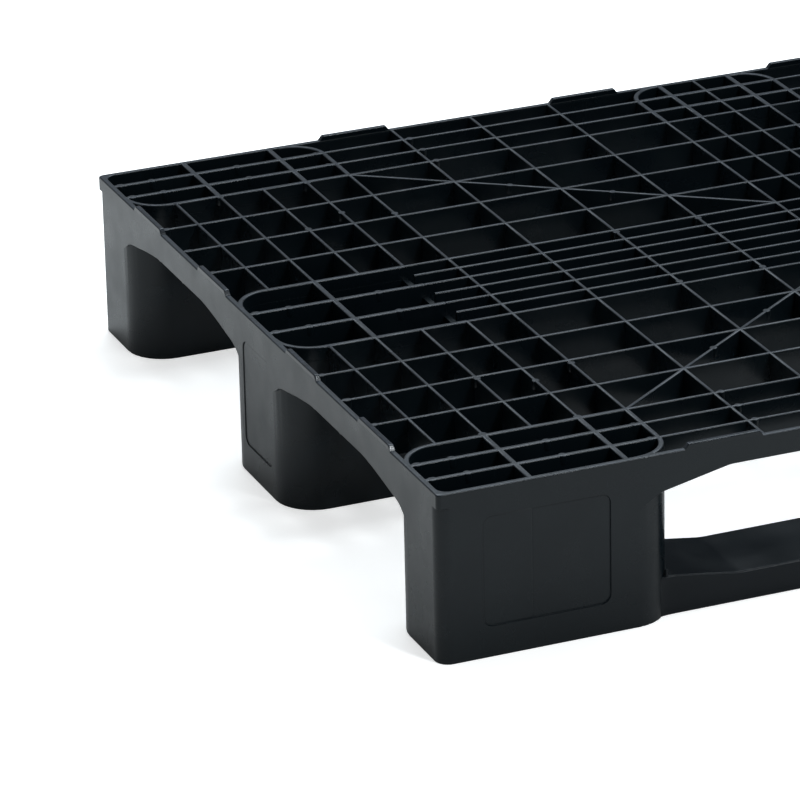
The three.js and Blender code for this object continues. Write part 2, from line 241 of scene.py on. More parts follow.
def rib_section(width, low, high):
    """(across, height) points round a rib, its two upper edges rounded."""
    half = width / 2
    arc = [(half - RIB_ROUND + RIB_ROUND * c, high - RIB_ROUND + RIB_ROUND * s) for c, s in quarter(3)]
    left = [(-u, z) for u, z in reversed(arc)]
    return [(RIB_TAPER - half, low), (half - RIB_TAPER, low)] + arc + left


def rib(start, end, width, low=UNDERSIDE, high=TOP, stations=None):
    """A straight rib between two points in plan; stations are (distance along, lower edge)."""
    (x0, y0), (x1, y1) = start, end
    run = math.hypot(x1 - x0, y1 - y0)
    dx, dy = (x1 - x0) / run, (y1 - y0) / run
    sections = []
    for along, bottom in stations or ((0, low), (run, low)):
        x, y = x0 + dx * along, y0 + dy * along
        section = rib_section(width, bottom, high)
        sections.append([(x - dy * u, y + dx * u, z) for u, z in section])
    return loft(sections)


def path_rib(path, width):
    """A rib that follows a smooth open path in plan."""
    sections = []
    for i, (x, y) in enumerate(path):
        (ax, ay), (bx, by) = path[max(i - 1, 0)], path[min(i + 1, len(path) - 1)]
        length = math.hypot(bx - ax, by - ay)
        dx, dy = (bx - ax) / length, (by - ay) / length
        section = rib_section(width, UNDERSIDE, TOP)
        sections.append([(x - dy * u, y + dx * u, z) for u, z in section])
    return loft(sections)


def plan_loop(plan, radii, inset, steps=8):
    """A rectangle with rounded corners, drawn in by inset, as (x, y) points."""
    (x0, x1), (y0, y1) = plan
    corners = (
        (x0 + inset, y0 + inset, 1, 1),
        (x1 - inset, y0 + inset, -1, 1),
        (x1 - inset, y1 - inset, -1, -1),
        (x0 + inset, y1 - inset, 1, -1),
    )
    points = []
    for i, (x, y, in_x, in_y) in enumerate(corners):
        r = max(radii[i] - inset, 0.05)
        for j in range(steps + 1):
            a = math.pi * (1 + i / 2) + math.pi / 2 * j / steps
            points.append((x + in_x * r + r * math.cos(a), y + in_y * r + r * math.sin(a)))
    return points


def plan_section(plan, radii, inset, z, steps=8):
    return [(x, y, z) for x, y in plan_loop(plan, radii, inset, steps)]


def post(centre, radius, low, high, sides=24, edge=0.0):
    """A round post, with its upper edge rounded where edge says so."""
    profile = [(radius, low), (radius, high - edge)]
    if edge:
        profile += [(radius - edge + edge * c, high - edge + edge * s) for c, s in quarter(3)[1:]]
    turn = [2 * math.pi * i / sides for i in range(sides)]
    x, y = centre
    return loft([[(x + r * math.cos(a), y + r * math.sin(a), z) for a in turn] for r, z in profile])


# ---------------------------------------------------------------- plan of the feet
def ordered(a, b):
    return (a, b) if a < b else (b, a)


def foot_plan(column, row):
    half = WALL / 2
    inner_x = (CORNER_X if row else SHORT_X) - half
    xs = ordered(column * inner_x, column * HALF_X) if column else (-FOOT_X - half, FOOT_X + half)
    ys = ordered(row * (OUTER_Y - half), row * HALF_Y) if row else (-FOOT_Y - half, FOOT_Y + half)
    return xs, ys


def foot_radii(column, row, inside=FOOT_ROUND):
    radii = []
    for sx, sy in ((-1, -1), (1, -1), (1, 1), (-1, 1)):
        on_end, on_side = sx == column, sy == row
        outside = OUTER_ROUND if on_end and on_side else FOOT_ROUND
        radii.append(outside if on_end or on_side else inside)
    return radii


def middle(pair):
    return (pair[0] + pair[1]) / 2


def screw_places(column, row):
    ys = foot_plan(column, row)[1]
    if not column:
        return [(sign * CENTRE_BAY, middle(ys)) for sign in SIGNS]
    if not row:
        return [(column * DEEP_X, sign * DENSE_BAY) for sign in SIGNS]
    return [(column * x, middle(ys)) for x in (SHORT_X, DEEP_X)]


# ---------------------------------------------------------------- deck
def ribs_along_x():
    shells = []

    def add(y, reach):
        for v in (y, -y) if y else (0,):
            shells.append(rib((-reach, v), (reach, v), RIB))

    for i in range(3):
        add(i * DENSE_BAY, SHORT_X)
    add(FOOT_Y, SHORT_X)
    for i in (1, 2, 3):
        add(FOOT_Y + i * WIDE_BAY, HALF_X - RIM_LAND / 2)
    for i in range(3):
        add(OUTER_Y + i * OUTER_BAY, CORNER_X)
    return shells


def ribs_along_y():
    """The ribs along Y that reach the long sides grow shallower towards the skirts there."""
    shells = []
    reach = HALF_Y - RIM_LAND / 2
    low_end = TOP - RISEN_DEPTH
    risen = (
        (0, low_end),
        (RISE_WIDTH, UNDERSIDE),
        (2 * reach - RISE_WIDTH, UNDERSIDE),
        (2 * reach, low_end),
    )
    for x in (0, CENTRE_BAY, -CENTRE_BAY):
        shells.append(rib((x, -reach), (x, reach), RIB))
    for s in SIGNS:
        shells.append(rib((s * FOOT_X, -OUTER_Y), (s * FOOT_X, OUTER_Y), RIB))
        for i in (1, 2, 3):
            x = s * (FOOT_X + i * LONG_BAY)
            shells.append(rib((x, -reach), (x, reach), RIB, stations=risen))
        shells.append(rib((s * CORNER_X, -OUTER_Y), (s * CORNER_X, OUTER_Y), RIB))
        for i in (1, 2, 3, 4):
            x = s * (CORNER_X + i * CORNER_BAY)
            for t in SIGNS:
                shells.append(rib((x, t * FOOT_Y), (x, t * OUTER_Y), RIB))
    return shells


def diagonals():
    return [
        rib((s * CORNER_X, t * OUTER_Y), (s * FOOT_X, t * FOOT_Y), RIB, low=TOP - DIAGONAL_DEPTH)
        for s in SIGNS
        for t in SIGNS
    ]


def rim_ring():
    """The plain band round the top: a rounded land, with tighter outer than inner corners."""
    plan = ((-HALF_X, HALF_X), (-HALF_Y, HALF_Y))
    outer, inner = 1.3, 1.0
    profile = [(0.4, TOP - RIM_BAND), (0.0, TOP - RIM_BAND + 0.4)]
    profile += [(outer - outer * c, TOP - outer + outer * s) for c, s in quarter(4)]
    profile += [
        (RIM_LAND - inner + inner * s, TOP - inner + inner * c) for c, s in quarter(3)
    ]
    profile += [(RIM_LAND, TOP - RIM_BAND - 2), (WALL - 2, TOP - RIM_BAND - 2)]
    sections = []
    for inset, z in profile:
        share = min(inset / RIM_LAND, 1)
        radius = RIM_CORNER + inset + (RIM_INNER_CORNER - RIM_CORNER) * share
        sections.append(plan_section(plan, [radius] * 4, inset, z))
    return loft(sections, ring=True)


def smooth_edge(points, steps):
    """More points on the smooth monotone curve through a few."""
    slopes = []
    for i in range(len(points)):
        (ax, az), (bx, bz) = points[max(i - 1, 0)], points[min(i + 1, len(points) - 1)]
        slopes.append((bz - az) / (bx - ax))
    out = []
    for i in range(len(points) - 1):
        (x0, z0), (x1, z1) = points[i], points[i + 1]
        run = x1 - x0
        for j in range(steps):
            t = j / steps
            h = (2 * t**3 - 3 * t**2 + 1, t**3 - 2 * t**2 + t)
            g = (3 * t**2 - 2 * t**3, t**3 - t**2)
            z = h[0] * z0 + h[1] * run * slopes[i] + g[0] * z1 + g[1] * run * slopes[i + 1]
            out.append((x0 + t * run, z))
    return out + [points[-1]]


def skirt(first, last, haunch, place):
    """A skirt between two feet; place turns (along, inset, height) into a point."""
    left = [(first + out, depth) for out, depth in haunch]
    right = [(last - out, depth) for out, depth in reversed(haunch)]
    sections = []
    r = 1.0
    for along, depth in left + right:
        z = TOP - depth
        loop = [(0, TOP - 2), (WALL, TOP - 2)]
        loop += [(WALL - r + r * c, z + r - r * s) for c, s in quarter(3)]
        loop += [(r - r * c, z + r - r * s) for c, s in reversed(quarter(3))]
        sections.append([place(along, inset, height) for inset, height in loop])
    return loft(sections)


def skirts():
    half = WALL / 2
    long_curve = smooth_edge(LONG_HAUNCH, 4) + list(LONG_SKIRT_END)
    short_curve = smooth_edge(SHORT_HAUNCH, 3)
    long_ends = (FOOT_X + half, CORNER_X - half)
    short_ends = (FOOT_Y + half, OUTER_Y - half)
    shells = []
    for side in SIGNS:
        for mirror in SIGNS:

            def on_long(along, inset, z):
                return (mirror * along, side * (HALF_Y - inset), z)

            def on_short(along, inset, z):
                return (side * (HALF_X - inset), mirror * along, z)

            shells.append(skirt(*long_ends, long_curve, on_long))
            shells.append(skirt(*short_ends, short_curve, on_short))
    return shells


def lips():
    def lip(start, place):
        ramp, r = LIP_RAMP, LIP_ROUND
        inner = RIM_LAND - 0.2
        heights = (
            (0, -1.0),
            (0.01, 0.0),
            (ramp * 0.1, LIP_HEIGHT * 0.05),
            (ramp * 0.95, LIP_HEIGHT * 0.85),
            (ramp * 1.15, LIP_HEIGHT * 0.97),
            (ramp * 1.45, LIP_HEIGHT),
        )
        stations = list(heights) + [(LIP_LENGTH - u, h) for u, h in reversed(heights)]
        sections = []
        for u, rise in stations:
            z = TOP + rise
            k = min(r, max(rise, 0.2))
            loop = [(0.0, TOP - 3), (inner, TOP - 3)]
            loop += [(inner - k + k * c, z - k + k * s) for c, s in quarter(3)]
            loop += [(k - k * c, z - k + k * s) for c, s in reversed(quarter(3))]
            sections.append([place(start + u, inset, height) for inset, height in loop])
        return loft(sections)

    def starts(first, last):
        ahead = (first, last - LIP_LENGTH)
        return ahead + tuple(-s - LIP_LENGTH for s in ahead)

    shells = []
    for side in SIGNS:
        for start in starts(FOOT_X + LIP_TO_FOOT, CORNER_X - LIP_TO_FOOT):
            shells.append(lip(start, lambda u, i, z: (u, side * (HALF_Y - i), z)))
        for start in starts(FOOT_Y, OUTER_Y):
            shells.append(lip(start, lambda u, i, z: (side * (HALF_X - i), u, z)))
    return shells


def foot_ring(column, row):
    """The hollow wall of a foot, up to the deck's underside."""
    plan = foot_plan(column, row)
    low, high = FOOT_BOTTOM, UNDERSIDE + 0.5
    outside = [(FOOT_EDGE - FOOT_EDGE * s, low + FOOT_EDGE - FOOT_EDGE * c) for c, s in quarter(3)]
    sections = []
    radii = foot_radii(column, row)
    for inset, z in outside + [(0.0, high), (WALL, high), (WALL, low)]:
        sections.append(plan_section(plan, radii, inset, z))
    return loft(sections, ring=True)


def foot_collar(column, row):
    """The foot's wall between the deck's underside and the rim: square where grid ribs cross."""
    plan = foot_plan(column, row)
    radii = foot_radii(column, row, inside=0)
    low, high = UNDERSIDE, TOP - RIM_BAND + 1
    sections = [plan_section(plan, radii, inset, z) for inset, z in ((0, low), (0, high))]
    sections += [plan_section(plan, radii, inset, z) for inset, z in ((WALL, high), (WALL, low))]
    return loft(sections, ring=True)


def foot_outline(column, row):
    """The rounded outline over a foot, at deck level, where it meets the rim."""
    (x0, x1), (y0, y1) = foot_plan(column, row)
    half = WALL / 2
    shells = []
    r = OUTLINE_ROUND
    turn = [math.pi / 2 * i / 10 for i in range(11)]
    if column:
        # Arcs that leave the short side's rim and turn inwards along the foot's sides.
        cx = column * (HALF_X - OUTLINE_INSET - r)
        inner = column * (CORNER_X if row else SHORT_X)
        for side in SIGNS:
            if side == row:
                continue
            line = y1 - half if side > 0 else y0 + half
            arc = [(cx + column * r * math.cos(a), line - side * (r - r * math.sin(a))) for a in turn]
            shells.append(path_rib(arc + [(inner, line)], OUTLINE_RIB))
    if row:
        # Arcs that leave the long side's rim and turn inwards along the foot's ends.
        cy = row * (HALF_Y - OUTLINE_INSET - r)
        inner = row * OUTER_Y
        for side in SIGNS:
            if side == column:
                continue
            line = x1 - half if side > 0 else x0 + half
            arc = [(line - side * (r - r * math.sin(a)), cy + row * r * math.cos(a)) for a in turn]
            shells.append(path_rib(arc + [(line, inner)], OUTLINE_RIB))
    return shells


def ribs_over_feet():
    """Thick ribs over each foot; those along Y that carry the screw bosses go deep."""
    shallow, deep = [], []
    low = RUNNER_HIGH + GAP
    for column, row in FEET:
        (x0, x1), (y0, y1) = foot_plan(column, row)
        ends = [SHORT_X, DEEP_X] if row else [DEEP_X]
        lines_x = [column * x for x in ends] if column else [s * CENTRE_BAY for s in SIGNS]
        rows = [row * (OUTER_Y + i * OUTER_BAY) for i in (1, 2)]
        lines_y = rows if row else [s * DENSE_BAY for s in SIGNS]
        for x in lines_x:
            ends_y = (x, y0 + FOOT_RIB_INSET), (x, y1 - FOOT_RIB_INSET)
            deep.append(rib(*ends_y, FOOT_RIB, low=low))
        for y in lines_y:
            ends_x = (x0 + FOOT_RIB_INSET, y), (x1 - FOOT_RIB_INSET, y)
            shallow.append(rib(*ends_x, FOOT_CROSS_RIB))
    return shallow, deep


def pad(place, half_length, radius):
    """A small pad with a rounded upper edge, round or a little longer along X."""
    x, y = place
    plan = ((x - half_length, x + half_length), (y - radius, y + radius))
    high, r = TOP - 0.02, NUB_EDGE
    profile = [(0.6, high - 8), (0, high - 5)]
    profile += [(r - r * c, high - r + r * s) for c, s in quarter(3)]
    return loft([plan_section(plan, [radius] * 4, inset, z, 4) for inset, z in profile])


def nubs():
    """Ejector marks: small pads on the ribs, level with their tops."""
    places, thick, near_rim = [], [], []
    for s in SIGNS:
        for t in SIGNS:
            for i in (1, 2):
                y = t * (OUTER_Y + i * OUTER_BAY)
                thick += [(s * (HALF_X - x), y) for x in FOOT_NUBS]
                places += [(s * (HALF_X - x), y) for x in ROW_NUBS]
            thick += [(s * (HALF_X - x), t * DENSE_BAY) for x in FOOT_NUBS]
            for share in (0.38, 0.62):
                on_diagonal_x = CORNER_X + share * (FOOT_X - CORNER_X)
                on_diagonal_y = OUTER_Y + share * (FOOT_Y - OUTER_Y)
                places.append((s * on_diagonal_x, t * on_diagonal_y))
            places.append((s * (FOOT_X + 3 * LONG_BAY - 6.5), t * OUTER_Y))
            places.append((s * SHORT_X, t * (FOOT_Y + 2.5 * WIDE_BAY)))
            places.append((s * (CORNER_X + 2 * CORNER_BAY), t * (FOOT_Y + 2 * WIDE_BAY + 4)))
            places.append((s * CORNER_X, t * (FOOT_Y + 2 * WIDE_BAY + 7)))
            for i in (1, 2):
                places.append((s * (FOOT_X + i * LONG_BAY), t * (FOOT_Y - 5)))
            for i in (1, 3):
                thick.append((s * (CORNER_X + i * CORNER_BAY), t * (OUTER_Y - 2)))
            thin_rows = [FOOT_Y + i * WIDE_BAY for i in (1, 2, 3)]
            thick_rows = [DENSE_BAY] + [OUTER_Y + i * OUTER_BAY for i in (1, 2)]
            near_rim += [(s * (HALF_X - RIM_NUBS_THIN), t * y, THIN_RIM_NUB_RADIUS) for y in thin_rows]
            near_rim += [(s * (HALF_X - RIM_NUBS_THICK), t * y, THICK_RIM_NUB_RADIUS) for y in thick_rows]
    small = [pad(place, NUB_HALF, NUB_RADIUS) for place in places]
    large = [pad(place, FOOT_NUB_HALF, FOOT_NUB_RADIUS) for place in thick]
    return small + large + [pad((x, y), RIM_NUB_HALF, radius) for x, y, radius in near_rim]


def bosses():
    shells = []
    for column, row in FEET:
        for place in screw_places(column, row):
            shells.append(post(place, BOSS_RADIUS, PAD + GAP, UNDERSIDE + 2, 24, 1.5))
    return shells


def panel(across, place):
    """A shallow recess with rounded corners and a fine groove round it, as a solid to cut away."""
    plan = (across, (PANEL_LOW, PANEL_HIGH))
    sections = []
    edge = ((-0.5, -1.0), (-0.5, 0.0), (0.0, PANEL_GROOVE), (0.8, PANEL_GROOVE), (1.5, PANEL_DEPTH))
    for inset, depth in edge:
        loop = plan_loop(plan, [PANEL_ROUND] * 4, inset, 6)
        sections.append([place(u, depth, z) for u, z in loop])
    return loft(sections)


def panels():
    shells = []
    near, far = CORNER_PANEL
    for side in SIGNS:

        def long_face(u, depth, z, side=side):
            return (u, side * (HALF_Y - depth), z)

        def short_face(u, depth, z, side=side):
            return (side * (HALF_X - depth), u, z)

        for mirror in SIGNS:
            reach = ordered(mirror * (HALF_X - near), mirror * (HALF_X - far))
            shells.append(panel(reach, long_face))
        shells.append(panel((-LONG_PANEL_HALF, LONG_PANEL_HALF), long_face))
        shells.append(panel((-SHORT_PANEL_HALF, SHORT_PANEL_HALF), short_face))
    return shells


def sink_lines():
    """Very shallow upright hollows in the panels, where the thick ribs stand behind them."""
    shells = []
    reach, depth = SINK_HALF, SINK_DEPTH
    for side in SIGNS:
        floor_y = HALF_Y - PANEL_DEPTH
        for x in (DEEP_X, -DEEP_X):
            loop = [(x - reach, floor_y + 0.04), (x, floor_y - depth), (x + reach, floor_y + 0.04)]
            shells.append(loft([[(u, side * v, z) for u, v in loop] for z in SINK_REACH]))
    return shells


# ---------------------------------------------------------------- runners
def bar_width(row):
    y0, y1 = foot_plan(0, row)[1]
    return y0 + RUNNER_SETBACK, y1 - RUNNER_SETBACK


def bays(row):
    half = WALL / 2
    inner = (CORNER_X if row else SHORT_X) - half
    return [(FOOT_X + half, inner), (-inner, -FOOT_X - half)]


# Runner face beside a foot: distance outside the foot's side, how far the face stands out there.
FLARE = ((-18, 0), (-16.2, 0), (-16, 3.1), (-13, 2.0), (-8.7, 0.7), (-4, 0.15), (0, 0))


def runner_bar(row, bay, grow=0.0, inside=0.0):
    """The bar between two feet; grow makes the larger solid that cuts its way through the feet."""
    y0, y1 = bar_width(row)
    start, end = bay
    ramp = [(0, RUNNER_HIGH), (2, RUNNER_HIGH - 0.1), (RUNNER_RAMP - 3, RUNNER_LOW + 0.35)]
    ramp += [(RUNNER_RAMP + 3, RUNNER_LOW)]
    stations = [(d, flare, RUNNER_HIGH) for d, flare in FLARE[:-1]]
    stations += [(d, 0, z) for d, z in ramp]
    if inside:
        stations = [(FLARE[0][0] - inside, 0, RUNNER_HIGH)] + stations
    places = [(start + d, flare, z) for d, flare, z in stations]
    places += [(end - d, flare, z) for d, flare, z in reversed(stations)]
    r, foot_r = 2.2 + grow, 1.2
    sections = []
    for x, flare, z in places:
        a, b, top = y0 - flare - grow, y1 + flare + grow, z + grow
        base = -3.0 if grow else 0.0
        loop = [(a + foot_r, base), (b - foot_r, base), (b, base + foot_r)]
        loop += [(b - r + r * c, top - r + r * s) for c, s in quarter(4)]
        loop += [(a + r - r * c, top - r + r * s) for c, s in reversed(quarter(4))]
        loop += [(a, base + foot_r)]
        sections.append([(x, y, height) for y, height in loop])
    return loft(sections)


def runner(name, row):
    y0, y1 = bar_width(row)
    inset = WALL + GAP
    feet = [(column, foot_plan(column, row), foot_radii(column, row)) for column in COLUMNS.values()]

    made = shells_to_object(name, [runner_bar(row, bay) for bay in bays(row)])
    blocks, pads = [], []
    for column, (xs, ys), radii in feet:
        inside = [(x, min(max(y, y0), y1)) for x, y in plan_loop((xs, ys), radii, inset)]
        blocks.append(loft([[(x, y, z) for x, y in inside] for z in (0.5, RUNNER_HIGH)]))
        edge = [(1.2, 0.0), (0.4, 0.4), (0.0, 1.2), (0.0, PAD)]
        pads.append(loft([plan_section((xs, ys), radii, inset + d, z) for d, z in edge]))
    combine(made, blocks)
    combine(made, pads)

    # Small stops on the bar beside each foot.
    stops = []
    for start, end in bays(row):
        for x in (start - STOP_TO_FOOT, end + STOP_TO_FOOT):
            for y in (y0 + STOP_INSET, y1 - STOP_INSET):
                stops.append(post((x, y), STOP_RADIUS, RUNNER_HIGH - 3, RUNNER_HIGH + 6, 12, 1.2))
    combine(made, stops)

    # Channels under the bar, open downwards.
    cells = round((y1 - y0) / CHANNEL_WIDTH)
    pitch = (y1 - y0 - RUNNER_WALL) / cells
    channels, cross = [], []
    for start, end in bays(row):
        under = [(start, RUNNER_HIGH - RUNNER_SKIN), (start + RUNNER_RAMP, RUNNER_LOW - RUNNER_SKIN)]
        under += [(end - RUNNER_RAMP, RUNNER_LOW - RUNNER_SKIN), (end, RUNNER_HIGH - RUNNER_SKIN)]
        for i in range(cells):
            a = y0 + RUNNER_WALL + i * pitch
            b = a + pitch - RUNNER_WALL
            d = CHANNEL_DRAFT
            loops = [[(x, a, -1), (x, b, -1), (x, b - d, z), (x, a + d, z)] for x, z in under]
            channels.append(loft(loops))
        step = (end - start) / (CROSS_RIBS_PER_BAY + 1)
        for i in range(CROSS_RIBS_PER_BAY):
            x = start + (i + 1) * step
            cross.append(rib((x, y0 + 1), (x, y1 - 1), CROSS_RIB, low=0.4, high=RUNNER_LOW - 1))
    combine(made, channels, "DIFFERENCE")
    combine(made, cross)

    # Trays inside the feet, open upwards.
    trays = []
    ys_in = (y0 + RUNNER_WALL, y1 - RUNNER_WALL)
    for column, (xs, _), _ in feet:
        centre = column * (CORNER_X + 2 * CORNER_BAY)
        ends = []
        for x, inward in zip(xs, (1, -1)):
            depth = inset + RUNNER_WALL if abs(x) == HALF_X else RUNNER_WALL
            ends.append(x + depth * inward)
        for reach in ((ends[0], centre - CROSS_RIB / 2), (centre + CROSS_RIB / 2, ends[1])):
            plan, radii = (reach, ys_in), [TRAY_ROUND] * 4
            trays.append(loft([plan_section(plan, radii, 0, z, 3) for z in (PAD, TRAY_TOP)]))
    combine(made, trays, "DIFFERENCE")

    holes, bores = [], []
    for column in COLUMNS.values():
        for place in screw_places(column, row):
            holes.append(post(place, HOLE_RADIUS, -1, PAD + 1))
            bores.append(post(place, COUNTERBORE_RADIUS, -1, COUNTERBORE_DEPTH))
    combine(made, holes, "DIFFERENCE")
    combine(made, bores, "DIFFERENCE")
    finish_mesh(made)
    return made


def build_deck():
    made = shells_to_object("pallet_deck", ribs_along_x())
    combine(made, ribs_along_y())
    combine(made, diagonals())
    combine(made, [rim_ring()])
    combine(made, skirts())
    combine(made, [foot_ring(*foot) for foot in FEET])
    combine(made, [foot_collar(*foot) for foot in FEET])
    for foot in FEET:
        for shell in foot_outline(*foot):
            combine(made, [shell])
    shallow, deep = ribs_over_feet()
    combine(made, shallow)
    combine(made, deep)
    combine(made, bosses())
    combine(made, nubs())
    combine(made, lips())
    combine(made, panels(), "DIFFERENCE")
    combine(made, sink_lines(), "DIFFERENCE")
    for row in ROWS.values():
        combine(made, [runner_bar(row, bay, GAP, 20) for bay in bays(row)], "DIFFERENCE")
    places = [place for foot in FEET for place in screw_places(*foot)]
    holes = [post(place, HOLE_RADIUS, PAD - 1, SCREW_TIP + GAP) for place in places]
    combine(made, holes, "DIFFERENCE")
    finish_mesh(made)
    return made


# ---------------------------------------------------------------- screws
def screw_mesh():
    """A flanged hexagon screw with a socket and a coarse thread, head down."""
    sides = 24
    turn = [2 * math.pi * i / sides for i in range(sides)]

    def circle(radius, z):
        return [(radius * math.cos(a), radius * math.sin(a), z) for a in turn]

    def hexagon(apothem, z):
        loop = []
        for a in turn:
            r = apothem / math.cos((a % (math.pi / 3)) - math.pi / 6)
            loop.append((r * math.cos(a), r * math.sin(a), z))
        return loop

    bottom = HEAD_TOP - 3.2
    sections = [hexagon(2.0, bottom + 1.9), hexagon(2.1, bottom + 0.25), circle(2.7, bottom)]
    sections += [circle(4.4, bottom), hexagon(4.75, bottom + 0.45), hexagon(4.8, bottom + 2.3)]
    sections += [circle(5.9, bottom + 2.55), circle(6.25, bottom + 2.9), circle(6.2, HEAD_TOP)]
    sections += [circle(2.6, HEAD_TOP), circle(2.3, HEAD_TOP + 0.6)]
    pitch, step, core, crest = 2.4, 0.3, 2.15, 2.95
    z = HEAD_TOP + 0.9
    while z < SCREW_TIP - 0.4:
        taper = min(1.0, (SCREW_TIP - z) / 5)
        fade = min(1.0, (z - HEAD_TOP) / 2.5)
        loop = []
        for a in turn:
            phase = (z / pitch - a / (2 * math.pi)) % 1
            ridge = max(0.0, 1 - abs(phase - 0.5) / 0.3)
            r = (core + (crest - core) * ridge * fade) * taper
            loop.append((r * math.cos(a), r * math.sin(a), z))
        sections.append(loop)
        z += step
    sections.append(circle(0.15, SCREW_TIP - 0.3))
    made = shells_to_object("screw_form", [loft(sections)])
    finish_mesh(made, 40)
    mesh = made.data
    bpy.data.objects.remove(made)
    return mesh


# ---------------------------------------------------------------- materials
class Nodes:
    """Short calls for the node trees below."""

    def __init__(self, name):
        self.material = bpy.data.materials.new(name)
        self.material.use_nodes = True
        self.tree = self.material.node_tree
        self.shader = self.tree.nodes["Principled BSDF"]
        self.place = self.tree.nodes.new("ShaderNodeTexCoord").outputs["Object"]

    def node(self, kind, **settings):
        made = self.tree.nodes.new(kind)
        for key, value in settings.items():
            setattr(made, key, value)
        return made

    def link(self, source, target):
        self.tree.links.new(source, target)

    def stretched(self, scale):
        made = self.node("ShaderNodeMapping")
        made.inputs["Scale"].default_value = scale
        self.link(self.place, made.inputs["Vector"])
        return made.outputs["Vector"]

    def noise(self, scale, detail=3.0, roughness=0.5, place=None):
        made = self.node("ShaderNodeTexNoise")
        made.inputs["Scale"].default_value = scale
        made.inputs["Detail"].default_value = detail
        made.inputs["Roughness"].default_value = roughness
        self.link(place or self.place, made.inputs["Vector"])
        return made.outputs["Fac"]

    def ranged(self, value, low, high, to_low=0.0, to_high=1.0):
        made = self.node("ShaderNodeMapRange")
        for key, number in (("From Min", low), ("From Max", high), ("To Min", to_low), ("To Max", to_high)):
            made.inputs[key].default_value = number
        self.link(value, made.inputs["Value"])
        return made.outputs["Result"]

    def math(self, operation, first, second):
        made = self.node("ShaderNodeMath", operation=operation)
        for socket, value in zip(made.inputs, (first, second)):
            if isinstance(value, (int, float)):
                socket.default_value = value
            else:
                self.link(value, socket)
        return made.outputs[0]

    def mixed(self, share, first, second):
        made = self.node("ShaderNodeMix", data_type="RGBA")
        self.link(share, made.inputs["Factor"])
        for socket, value in ((made.inputs[6], first), (made.inputs[7], second)):
            if isinstance(value, tuple):
                socket.default_value = value
            else:
                self.link(value, socket)
        return made.outputs[2]

    def bump(self, height, strength, distance, under=None):
        made = self.node("ShaderNodeBump")
        made.inputs["Strength"].default_value = strength
        made.inputs["Distance"].default_value = distance
        self.link(height, made.inputs["Height"])
        if under:
            self.link(under, made.inputs["Normal"])
        return made.outputs["Normal"]


def moulded_plastic(name, dark, light, scuff_and_highlight_colour, roughness, ior):
    """Black moulded polyolefin: fine grain, slow waviness, flow marks, and upper faces painted paler as
    scuffs and as a painted highlight.
    """
    n = Nodes(name)
    cloud = n.noise(9.0, 4.0, 0.6)
    colour = n.mixed(n.ranged(cloud, 0.35, 0.7), dark, light)

    # Upward faces near the deck top are painted paler and bluer: partly scuffs from loads, partly a painted
    # highlight that stands in for light falling on the tops.
    split = n.node("ShaderNodeSeparateXYZ")
    n.link(n.place, split.inputs[0])
    facing = n.node("ShaderNodeSeparateXYZ")
    n.link(n.node("ShaderNodeNewGeometry").outputs["Normal"], facing.inputs[0])
    near_top = n.ranged(split.outputs["Z"], 0.147, 0.1495)
    upper_scuff_and_highlight = n.math("MULTIPLY", near_top, n.ranged(facing.outputs["Z"], 0.3, 0.9))
    scuff_and_highlight_noise = n.noise(1.0, 5.0, 0.7, n.stretched((60, 260, 60)))
    wear_and_painted_highlight = n.math("MULTIPLY", upper_scuff_and_highlight, n.ranged(scuff_and_highlight_noise, 0.42, 0.72, 0.25, 1.0))
    # The pale colour goes onto upward faces only: scuffing and a painted highlight together.
    colour = n.mixed(wear_and_painted_highlight, colour, scuff_and_highlight_colour)

    # Fine handling marks everywhere.
    marks = n.ranged(n.noise(1.0, 6.0, 0.75, n.stretched((420, 90, 35))), 0.6, 0.78)
    colour = n.mixed(n.math("MULTIPLY", marks, 0.35), colour, scuff_and_highlight_colour)
    n.link(colour, n.shader.inputs["Base Color"])

    blotches = n.noise(26.0, 3.0)
    rough = n.ranged(blotches, 0.3, 0.7, roughness - 0.05, roughness + 0.06)
    rough = n.math("ADD", rough, n.math("MULTIPLY", wear_and_painted_highlight, 0.06))
    # Loads rub the lips smooth.
    lips_only = n.ranged(split.outputs["Z"], 0.1503, 0.1515)
    rough = n.math("SUBTRACT", rough, n.math("MULTIPLY", lips_only, 0.15))
    n.link(rough, n.shader.inputs["Roughness"])
    n.shader.inputs["IOR"].default_value = ior

    waves = n.bump(n.noise(14.0, 2.0), 0.5, 0.0012)
    grain = n.bump(n.noise(900.0, 2.0, 0.6), 0.35, 0.0002, waves)
    n.link(grain, n.shader.inputs["Normal"])
    return n.material


def zinc_steel(name):
    n = Nodes(name)
    tone = n.noise(700.0, 4.0, 0.6)
    colour = n.mixed(n.ranged(tone, 0.35, 0.7), (0.42, 0.43, 0.45, 1), (0.62, 0.61, 0.57, 1))
    n.link(colour, n.shader.inputs["Base Color"])
    n.shader.inputs["Metallic"].default_value = 1.0
    n.link(n.ranged(n.noise(1600.0, 3.0), 0.3, 0.7, 0.28, 0.46), n.shader.inputs["Roughness"])
    lines = n.noise(1.0, 3.0, 0.6, n.stretched((300, 300, 6000)))
    n.link(n.bump(lines, 0.3, 0.00005), n.shader.inputs["Normal"])
    return n.material


def assign(made, material):
    made.data.materials.clear()
    made.data.materials.append(material)


deck_plastic = moulded_plastic(
    "deck_black",
    dark=(0.0014, 0.0034, 0.005, 1),
    light=(0.0026, 0.0052, 0.0068, 1),
    # Pale bluish colour for handling marks, scuffs and the painted highlight on upward faces.
    scuff_and_highlight_colour=(0.016, 0.0215, 0.032, 1),
    roughness=0.29,
    ior=1.3,
)
runner_plastic = moulded_plastic(
    "runner_black",
    dark=(0.0022, 0.0036, 0.0052, 1),
    light=(0.0036, 0.0054, 0.0072, 1),
    scuff_and_highlight_colour=(0.009, 0.0115, 0.0145, 1),
    roughness=0.34,
    ior=1.25,
)
steel = zinc_steel("screw_zinc")

